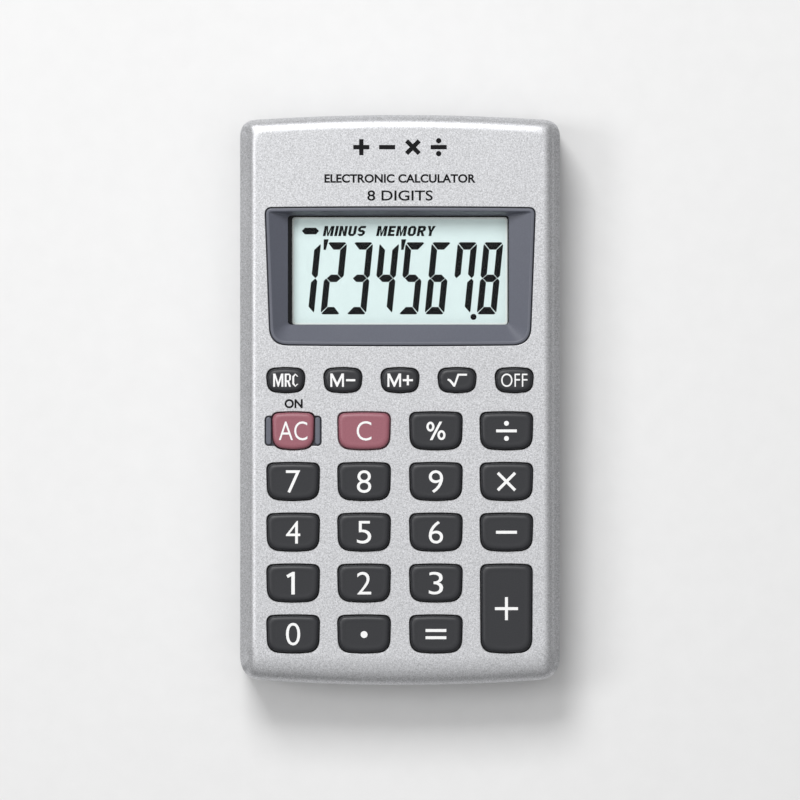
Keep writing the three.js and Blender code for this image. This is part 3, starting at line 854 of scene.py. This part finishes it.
# Liquid crystal display
DIGIT = {"width": 4.25, "height": 15.7, "upright": 1.34, "level": 1.6, "gap": 0.09, "y": 26.5}
LAST_DIGIT_X = 19.6
DIGIT_PITCH = 5.67
SLANT = math.tan(math.radians(5.7))
LIT = {
    "1": "bc", "2": "abged", "3": "abgcd", "4": "fgbc",
    "5": "afgcd", "6": "afgecd", "7": "fabc", "8": "abcdefg",
}


def segment_outlines():
    """The seven bars of a digit, upright and centred, by letter."""
    w, h = DIGIT["width"] / 2, DIGIT["height"] / 2
    u, t, g = DIGIT["upright"], DIGIT["level"], DIGIT["gap"]
    top = [(-w + 0.5, h), (w - 0.5, h), (w - 0.2, h - 0.2), (w - u - g, h - t), (-w + u + g, h - t),
           (-w + 0.2, h - 0.2)]
    right = [(w - 0.12, h - 0.42), (w, h - 0.7), (w, 0.6), (w - 0.4, 0.09), (w - 0.55, 0.09),
             (w - u, t / 2 + g), (w - u, h - t - g)]
    middle = [(-w + 0.6, 0), (-w + u + g, t / 2), (w - u - g, t / 2), (w - 0.6, 0), (w - u - g, -t / 2),
              (-w + u + g, -t / 2)]
    bars = {"a": top, "b": right, "g": middle}
    bars["d"] = [(x, -y) for x, y in top]
    bars["c"] = [(x, -y) for x, y in right]
    bars["f"] = [(-x, y) for x, y in right]
    bars["e"] = [(-x, -y) for x, y in right]
    return bars


def display_number():
    """The eight digits, the point, two tick marks and the memory bar."""
    bars = segment_outlines()
    shapes = []
    for place_number, digit in enumerate("12345678"):
        cx = LAST_DIGIT_X - (7 - place_number) * DIGIT_PITCH
        for letter in LIT[digit]:
            shapes.append([[(cx + x + y * SLANT, DIGIT["y"] + y) for x, y in bars[letter]]])
    shapes.append([circle(16.0, 18.1, 0.66)])
    for x in (-16.3, 0.6):
        shapes.append([[(x - 0.35, 32.7), (x + 0.15, 32.7), (x + 0.75, 35), (x - 0.3, 35)]])
    x, y = -19.5, 36.8
    shapes.append([[(x - 1.87, y), (x - 1.2, y + 0.72), (x + 1.2, y + 0.72), (x + 1.87, y),
                    (x + 1.2, y - 0.72), (x - 1.2, y - 0.72)]])
    return shapes


def film_levels():
    _, high = box_mm("front_polariser")
    return high[2] - 0.02, high[2] + 0.03


rides_on(raised("display_number", display_number(), film_levels(), SEGMENT_BLACK), "front_polariser")
WORD_WIDTHS = {
    "M": 2.15, "I": 0.55, "N": 1.7, "U": 1.7, "S": 1.6, "E": 1.45, "O": 1.75, "R": 1.7, "Y": 1.75,
}
display_words = []
for words, left in (("MINUS", -16.6), ("MEMORY", -5.0)):
    display_words += block_words(words, left, 36.8, 2.2, 0.6, WORD_WIDTHS, 0.33, 0.2)
rides_on(raised("display_words", display_words, film_levels(), SEGMENT_BLACK), "front_polariser")


# Bezel and window
WINDOW_BOX = ((-23.5, 16.4), (23.4, 39.8))
WALL_FOOT_BOX = ((-24.35, 16.4), (23.65, 40.12))
RECESS_FLOOR = 14.9


def window_outline(grow=0.0, radius=0.7, corners=WINDOW_BOX):
    (x0, y0), (x1, y1) = corners
    centre = ((x0 + x1) / 2, (y0 + y1) / 2)
    return crowned(x1 - x0 + 2 * grow, y1 - y0 + 2 * grow, radius, radius, 0, 0, centre, 10, 16)


def display_bezel():
    low, high = box_mm("display_bezel")
    flange_top, foot, top = high[2] - 1.7, low[2], high[2]
    outside = [
        (BEZEL_RIM, foot), (BEZEL_RIM, flange_top), (0, flange_top), (0, top - 0.22), (-0.08, top - 0.06),
        (-0.22, top), (-0.55, top), (-0.68, top - 0.06), (-0.78, top - 0.17),
    ]
    wall_foot = [
        (0.12, 0.8, RECESS_FLOOR + 0.07), (0.04, 0.7, RECESS_FLOOR),
        (0, 0.7, RECESS_FLOOR - 0.1), (0, 0.7, foot),
    ]
    rings = [level(bezel_outline(grow), z) for grow, z in outside]
    rings += [level(window_outline(grow, radius, WALL_FOOT_BOX), z) for grow, radius, z in wall_foot]
    shell = Shell()
    shell.looped(rings)
    return stands_for(shell.finish("bezel", GREY_PLASTIC, 28), "display_bezel")


def frame_ring(name, outer, inner, levels, material):
    shell = Shell()
    z_low, z_high = levels
    shell.looped([level(outer, z_low), level(outer, z_high), level(inner, z_high), level(inner, z_low)])
    rides_on(shell.finish(name, material, 35, False), "display_bezel")


display_bezel()
PAINTED_SHADE_LEVELS = (14.1, 14.5)
PAINTED_LIGHT_LEVELS = (12.81, 12.86)
# Painted shade: a black ring at the foot of the bezel's recess stands for the shade at the step between the
# recess wall and the window.
frame_ring("window_painted_shade", window_outline(-0.02, 0.7, WALL_FOOT_BOX), window_outline(-0.03),
           PAINTED_SHADE_LEVELS, PRINT_BLACK)
# Painted light: a thin white ring just under the window stands for the brighter, unshadowed edge of the
# display.
frame_ring("window_painted_light", window_outline(0.3), window_outline(-0.42),
           PAINTED_LIGHT_LEVELS, LEGEND_WHITE)


def key_guard():
    """Two ribs beside the AC key, standing on the plate that is held under the cover."""
    low, high = box_mm("ac_key_guard")
    cx, cy = (low[0] + high[0]) / 2, (low[1] + high[1]) / 2
    plate_top = low[2] + 0.9
    shell = Shell()
    outer = rounded_box((low[0], low[1]), (high[0], high[1]), 1.4)
    hole = key_outline("key_ac", KEY_GAP)
    outer_low, outer_high = shell.loft([level(outer, low[2]), level(outer, plate_top)])
    hole_low, hole_high = shell.loft([level(hole, low[2]), level(hole, plate_top)])
    shell.flat([outer_low, hole_low], up=False)
    shell.flat([outer_high, hole_high])
    for side in (-1, 1):
        x = cx + side * RIB["off"]

        def rib(inset):
            half, reach = RIB["half_width"] - inset, RIB["half_length"] - inset
            return rounded_box((x - half, cy - reach), (x + half, cy + reach), max(0.56 - inset, 0.1))

        levels = [(0, plate_top - 0.3), (0, high[2] - 0.25), (0.06, high[2] - 0.1), (0.16, high[2] - 0.02),
                  (0.26, high[2])]
        shell.capped([level(rib(inset), z) for inset, z in levels])
    stands_for(shell.finish("guard", GREY_PLASTIC, 40), "ac_key_guard")


key_guard()


# Rear half of the case

def carve(piece, cutter, operation):
    """The piece joined with, cut by or kept within a cutter, which is then removed."""
    step = piece.modifiers.new("carve", "BOOLEAN")
    step.operation = operation
    step.solver = "EXACT"
    step.object = cutter
    bpy.context.view_layer.update()
    old = piece.data
    made = bpy.data.meshes.new_from_object(piece.evaluated_get(bpy.context.evaluated_depsgraph_get()))
    piece.modifiers.remove(step)
    piece.data = made
    bpy.data.objects.remove(cutter)
    bpy.data.meshes.remove(old)
    shell = bmesh.new()
    shell.from_mesh(made)
    bmesh.ops.remove_doubles(shell, verts=shell.verts[:], dist=0.004 * MM)
    bmesh.ops.dissolve_degenerate(shell, edges=shell.edges[:], dist=0.002 * MM)
    shell.to_mesh(made)
    shell.free()
    return piece


def solid_of(rings):
    """A plain closed solid lofted through rings, used to carve with."""
    shell = Shell()
    shell.capped(rings)
    return shell.finish("cutter", REAR_PLASTIC, 35, False)


def block(x0, x1, y0, y1, z0, z1, radius=0.0):
    if radius:
        outline = rounded_box((x0, y0), (x1, y1), radius)
    else:
        outline = [(x0, y0), (x1, y0), (x1, y1), (x0, y1)]
    return solid_of([level(outline, z0), level(outline, z1)])


def joined(name, parts, material):
    """Several closed solids as one piece."""
    shell = bmesh.new()
    for part in parts:
        shell.from_mesh(part.data)
        bpy.data.objects.remove(part)
    mesh = bpy.data.meshes.new(name)
    shell.to_mesh(mesh)
    shell.free()
    return place(name, mesh, material)


def finished(piece, edge=0.18, sharp=30):
    """Sharp edges broken with a small bevel, and the flat faces shaded flat."""
    piece.data.set_sharp_from_angle(angle=math.radians(sharp))
    rounding = piece.modifiers.new("edges", "BEVEL")
    rounding.width = edge * MM
    rounding.segments = 2
    rounding.limit_method = "ANGLE"
    rounding.angle_limit = math.radians(sharp)
    normals = piece.modifiers.new("normals", "WEIGHTED_NORMAL")
    normals.keep_sharp = True
    return piece


def pan_rings(floor, wall, top):
    """The rear half of the case as rings, from the middle of its back round to its inside."""
    outline, back, brim, inner = (case_outline(inset, corner_steps=12, crown_steps=20)
                                  for inset in (0, BACK_EDGE, 0.15, wall))
    rings = []
    steps = 8
    for step in range(steps + 1):
        angle = math.pi / 2 * step / steps
        share, height = math.sin(angle), BACK_EDGE * (1 - math.cos(angle))
        rings.append([(b[0] + (a[0] - b[0]) * share, b[1] + (a[1] - b[1]) * share, height)
                      for a, b in zip(outline, back)])
    return rings + [level(outline, top - 0.2), level(brim, top), level(inner, top), level(inner, floor)]


DOOR = {"half": 28.4, "foot": 44.9, "thick": 1.2, "lip": 6.5, "gap": 0.25}
TAB = {"near": 25.6, "far": 28.0, "foot": 43.0, "head": 46.1, "low": 1.85, "high": 2.65, "gap": 0.3}
WELLS = [(-27, -57.4), (27, -57.4), (-29.4, 9.5), (29.4, 9.5)]
WELL_RADIUS = 2.0
WELL_SEAT = 5.0
SHANK_HOLE = 1.1
BAY = {"half": 29.6, "wall": 1.1, "foot": 44.5, "top": 58.3, "high": 15.9}
TONGUE = (7, 9.8)
OUTSIDE = 80


def rear_cover():
    shell = solid_of(pan_rings(FLOOR, WALL, REAR_TOP))
    shell.name = "rear_shell"
    half = DOOR["half"] + DOOR["gap"]
    foot = DOOR["foot"] - DOOR["gap"]
    carve(shell, block(-half, half, foot, OUTSIDE, -1, DOOR["lip"] + DOOR["gap"]), "DIFFERENCE")
    for x, y in WELLS:
        well = circle(x, y, WELL_RADIUS, 40)
        carve(shell, solid_of([level(well, -1), level(well, 4)]), "DIFFERENCE")
    stands_for(finished(shell), "rear_cover")
    for piece in (battery_bay(), screw_wells(), rear_tongue()):
        rides_on(piece, "rear_cover")


def both_sides(near, far):
    """The stretch from near to far on the left, and the same on the right."""
    return (-far, -near), (near, far)


def battery_bay():
    """Three walls round the cell. The one at the foot has slots for the door's tabs."""
    inner = BAY["half"] + BAY["wall"]
    foot_wall = block(-inner, inner, BAY["foot"] - BAY["wall"], BAY["foot"], FLOOR - 0.2, BAY["high"])
    slots = [
        block(*ends, BAY["foot"] - BAY["wall"] - 1, BAY["foot"] + 1, 1, TAB["high"] + TAB["gap"])
        for ends in both_sides(TAB["near"] - TAB["gap"], TAB["far"] + TAB["gap"])
    ]
    carve(foot_wall, joined("tab_slots", slots, REAR_PLASTIC), "DIFFERENCE")
    walls = [foot_wall]
    for ends in both_sides(BAY["half"], inner):
        walls.append(block(*ends, BAY["foot"] + 0.02, BAY["top"], FLOOR - 0.2, BAY["high"]))
    return finished(joined("battery_bay", walls, REAR_PLASTIC), 0.12)


def screw_wells():
    posts = []
    for x, y in WELLS:
        outer, inside = circle(x, y, WELL_RADIUS + 0.9, 40), circle(x, y, WELL_RADIUS, 40)
        hole = circle(x, y, SHANK_HOLE, 40)
        post = Shell()
        rings = [level(outer, FLOOR - 0.3), level(outer, REAR_TOP - 0.02), level(hole, REAR_TOP - 0.02),
                 level(hole, WELL_SEAT), level(inside, WELL_SEAT), level(inside, FLOOR - 0.3)]
        post.looped(rings)
        posts.append(post.finish("post", REAR_PLASTIC, 35, False))
    return joined("screw_wells", posts, REAR_PLASTIC)


def rear_tongue():
    """The lip that stands inside the front cover, left out beside the battery."""
    outer, inside = case_outline(WALL + 0.3, corner_steps=12), case_outline(WALL + 1.1, corner_steps=12)
    low, high = TONGUE
    shell = Shell()
    shell.looped([level(outer, low), level(outer, high), level(inside, high), level(inside, low)])
    tongue = shell.finish("rear_tongue", REAR_PLASTIC)
    beside_battery = block(-OUTSIDE, OUTSIDE, BAY["foot"] - 2 * BAY["wall"], OUTSIDE, 0, FACE)
    return carve(tongue, beside_battery, "DIFFERENCE")


GRIP = {"half": 7.0, "count": 6, "first": 50.4, "pitch": 1.5, "width": 0.7, "depth": 0.4}


def battery_cover():
    """The sliding door, with finger grooves and an arrow on its face and a tab at either side."""
    door = solid_of(pan_rings(DOOR["thick"], WALL, DOOR["lip"] + 2))
    door.name = "battery_door"
    carve(door, block(-DOOR["half"], DOOR["half"], DOOR["foot"], OUTSIDE, -1, DOOR["lip"]), "INTERSECT")
    grooves = []
    for number in range(GRIP["count"]):
        y = GRIP["first"] + number * GRIP["pitch"]
        grooves.append(block(-GRIP["half"], GRIP["half"], y, y + GRIP["width"], -1, GRIP["depth"], 0.34))
    arrow = [(-2.6, 47.2), (2.6, 47.2), (0, 49.3)]
    grooves.append(solid_of([level(arrow, -1), level(arrow, 0.25)]))
    carve(door, joined("grooves", grooves, REAR_PLASTIC), "DIFFERENCE")
    stands_for(finished(door, 0.12), "battery_cover")
    tabs = []
    for ends in both_sides(TAB["near"], TAB["far"]):
        tabs.append(block(*ends, TAB["foot"], TAB["head"], TAB["low"], TAB["high"]))
        tabs.append(block(*ends, DOOR["foot"] + 0.02, TAB["head"] - 0.02,
                          DOOR["thick"] - 0.2, TAB["low"] + 0.01))
    rides_on(finished(joined("door_tabs", tabs, REAR_PLASTIC), 0.1), "battery_cover")


def case_screw(number, x, y):
    """A pan-head screw with a cross recess in its head."""
    low, high = box_mm(f"case_screw_{number}")
    head, under, radius = low[2], low[2] + 1.1, 1.7
    shell = Shell()
    cross = plus_sign(x, y, 1.9, 0.5, math.pi / 5 * number)
    sunk = plus_sign(x, y, 1.3, 0.34, math.pi / 5 * number)
    rings = [level(circle(x, y, 1.35, 40), head), level(circle(x, y, 1.6, 40), head + 0.18),
             level(circle(x, y, radius, 40), head + 0.5), level(circle(x, y, radius, 40), under),
             level(circle(x, y, 0.8, 40), under), level(circle(x, y, 0.8, 40), high[2])]
    first, last = shell.loft(rings)
    edge, foot = shell.loft([level(cross, head), level(sunk, head + 0.7)])
    shell.flat([first, edge], up=False)
    shell.cap(foot)
    shell.cap(last)
    stands_for(shell.finish(f"screw_{number}", ZINC, 35), f"case_screw_{number}")


rear_cover()
battery_cover()
for number, (x, y) in enumerate(WELLS, 1):
    case_screw(number, x, y)


# Battery and its spring
CELL = {"y": 52.2, "z": 8.7, "radius": 7.25, "left": -24.3, "right": 24.9, "pip": 26.2, "pip_radius": 2.75}


def on_cell(x, radius, angle):
    """A point about the cell's axis."""
    return x, CELL["y"] + radius * math.cos(angle), CELL["z"] + radius * math.sin(angle)


def turned(name, profile, material, sharp=30):
    """A solid turned about the cell's axis from (x, radius) pairs."""
    shell = Shell()
    shell.capped([[on_cell(x, radius, angle) for angle in turns(72)] for x, radius in profile])
    return shell.finish(name, material, sharp)


def cell_mark(name, outlines, material):
    """Flat marks wrapped on the underside of the cell, each y measured round from its lowest line."""
    shell = Shell()
    for outline in outlines:
        shell.capped([
            [on_cell(x, radius, -math.pi / 2 + y / CELL["radius"]) for x, y in outline]
            for radius in (CELL["radius"] - 0.05, CELL["radius"] + 0.02)
        ])
    rides_on(shell.finish(name, material, 35, False), "battery_cell")


def battery_cell():
    left, right, radius = CELL["left"], CELL["right"], CELL["radius"]
    jacket = turned("cell_jacket", [
        (left + 0.25, 5.6), (left + 0.1, 5.9), (left, radius - 0.5), (left + 0.15, radius - 0.12),
        (left + 0.5, radius), (right - 0.6, radius), (right - 0.2, radius - 0.12),
        (right - 0.02, radius - 0.5), (right - 0.1, 5.4), (right - 0.3, 5.2),
    ], cell_jacket(left, right))
    stands_for(jacket, "battery_cell")
    ends = [
        turned("negative_end", [
            (left + 0.02, 4.6), (left + 0.06, 5.2), (left + 0.24, 5.5), (left + 0.4, 5.5),
        ], NICKEL),
        turned("positive_end", [
            (right - 0.5, 5.1), (right - 0.08, 5.1), (right - 0.05, 3.3), (right + 0.1, 2.9),
            (CELL["pip"] - 0.3, 2.72), (CELL["pip"] - 0.08, 2.6), (CELL["pip"], 2.3),
        ], NICKEL),
    ]
    for piece in ends:
        rides_on(piece, "battery_cell")
    cell_mark("cell_plus_mark", [
        bar(20.5, 0, 2.6, 0.6), bar(20.5, 0.95, 0.6, 1.1), bar(20.5, -0.95, 0.6, 1.1),
    ], LEGEND_WHITE)
    cell_mark("cell_minus_mark", [bar(-20.5, 0, 2.6, 0.6)], LEGEND_WHITE)
    cell_mark("cell_stripes", [bar(-2, v, 26, 0.25) for v in (-3.4, 3.4)], LEGEND_WHITE)


def negative_spring():
    """A tapering coil of round wire with closed ends."""
    low, high = box_mm("negative_spring")
    gauge, coils, per_coil, sides = 0.4, 4.0, 28, 14
    start, stop = low[0] + gauge, high[0] - gauge
    rings = []
    count = int(coils * per_coil)
    for step in range(count + 1):
        share = step / count
        angle = 2 * math.pi * coils * share
        radius = 4.4 - 1.4 * share
        out = Vector((0, math.cos(angle), math.sin(angle)))
        centre = Vector((start + (stop - start) * share, CELL["y"], CELL["z"])) + radius * out
        rings.append([tuple(centre + gauge * (math.cos(a) * out + math.sin(a) * Vector((1, 0, 0))))
                      for a in turns(sides)])
    shell = Shell()
    shell.capped(rings)
    stands_for(shell.finish("spring", NICKEL, 40), "negative_spring")


battery_cell()
negative_spring()


# Keypad mat: a sheet, and a hollow dome under each key
DOME_FOOT, DOME_TOP, DOME_WALL, DOME_ROOF = 3.1, 2.2, 0.5, 1.0
DOME_REST = 0.3  # the gap between a dome and its key at rest
BOSSES = [(-15.5, -12.2), (15.5, -12.2), (0, -23.2), (-15.5, -34.2), (15.5, -34.2), (0, -45.3)]
BOSS_ROOM = 1.7


def keypad_mat():
    low, high = box_mm("keypad_mat")
    sheet_top = low[2] + 0.6
    outlines = [rounded_box(low[:2], high[:2], 1.2)]
    outlines += [circle(*key_measure(node)[0], DOME_FOOT - DOME_WALL) for node in KEY_NODES]
    outlines += [circle(x, y, BOSS_ROOM) for x, y in BOSSES]
    shell = Shell()
    ends = [shell.loft([level(outline, low[2]), level(outline, sheet_top)]) for outline in outlines]
    shell.flat([first for first, _ in ends], up=False)
    shell.flat([last for _, last in ends])
    stands_for(shell.finish("mat_sheet", SILICONE), "keypad_mat")
    for node in KEY_NODES:
        key_dome(node, sheet_top + 0.01)


def key_dome(node, foot):
    (cx, cy), _, _, under, _ = key_measure(node)
    top = under - DOME_REST
    shell = Shell()
    rings = [(DOME_FOOT, foot), (DOME_FOOT, foot + 0.1), (DOME_TOP, top - 0.15), (DOME_TOP - 0.15, top)]
    outer, roof = shell.loft([level(circle(cx, cy, radius), z) for radius, z in rings])
    rings = [(DOME_FOOT - DOME_WALL, foot), (DOME_TOP - DOME_WALL, top - DOME_ROOF)]
    inner, ceiling = shell.loft([level(circle(cx, cy, radius), z) for radius, z in rings])
    shell.band(outer, inner)
    shell.cap(roof)
    shell.cap(ceiling)
    dome = shell.finish(f"dome_{node[4:]}", SILICONE, 50, False)
    rides_on(dome, "keypad_mat")
    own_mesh(dome)


keypad_mat()

# The pieces inside keep their CAD shapes
NODE_MATERIALS = {
    "rear_plastic": REAR_PLASTIC,
    "grey_plastic": GREY_PLASTIC,
    "clear_window": WINDOW,
    "polariser_film": FILM,
    "lcd_glass": GLASS,
    "connector_rubber": CONNECTOR,
    "board_laminate": BOARD,
    "black_resin": RESIN,
    "capacitor_body": CERAMIC,
    "silicone": SILICONE,
    "plated_steel": NICKEL,
    "screw_steel": ZINC,
    "red_insulation": RED,
    "black_insulation": BLACK,
}
for node, piece in frame["nodes"].items():
    if SLOT_OF[node] in NODE_MATERIALS:
        for slot in piece.material_slots:
            slot.material = NODE_MATERIALS[SLOT_OF[node]]


# Camera, light and floor
SKY_STRENGTH = 0.8
SKY_LOW = 0.03
FRAME_WIDTH = 0.1743
FRAME_LEVEL = 0.012
CAMERA_HEIGHT = 1.6
FLOOR_REACH = 1.5
FLOOR_Z = -0.00005
camera_data = bpy.data.cameras.new("camera")
camera_data.sensor_width = 36
camera_data.lens = camera_data.sensor_width * (CAMERA_HEIGHT - FRAME_LEVEL) / FRAME_WIDTH
camera = bpy.data.objects.new("camera", camera_data)
camera.location = (0, 0, CAMERA_HEIGHT)
SCENE.collection.objects.link(camera)
SCENE.camera = camera


def area_light(name, location, power, size):
    light = bpy.data.lights.new(name, "AREA")
    light.energy = power
    light.size = size
    lamp = bpy.data.objects.new(name, light)
    lamp.location = location
    lamp.rotation_euler = (-Vector(location)).to_track_quat("-Z", "Y").to_euler()
    SCENE.collection.objects.link(lamp)


area_light("key_light", (-0.25, 0.8, 0.95), 10, 0.5)
area_light("side_light", (-0.75, 0.1, 0.9), 2.2, 0.3)
world = bpy.data.worlds.new("studio")
world.use_nodes = True
direction = add_node(world, "TexCoord").outputs["Generated"]
height = add_node(world, "SeparateXYZ", {"Vector": direction}).outputs["Z"]
shades = ramp(world, height, [(0.35, (SKY_LOW, SKY_LOW, SKY_LOW)), (0.85, (1, 1, 1))])
feed(world, world.node_tree.nodes["Background"].inputs, {"Strength": SKY_STRENGTH, "Color": shades})
SCENE.world = world
SCENE.view_settings.view_transform = "Standard"

floor_mesh = bpy.data.meshes.new("floor")
floor_corners = level(bar(0, 0, 2 * FLOOR_REACH, 2 * FLOOR_REACH), FLOOR_Z)
floor_mesh.from_pydata(floor_corners, [], [(0, 1, 2, 3)])
floor = bpy.data.objects.new("floor", floor_mesh)
floor_mesh.materials.append(moulded("floor_pale", (0.80, 0.80, 0.80), 0.7, 200, 0.01, 0.02))
SCENE.collection.objects.link(floor)
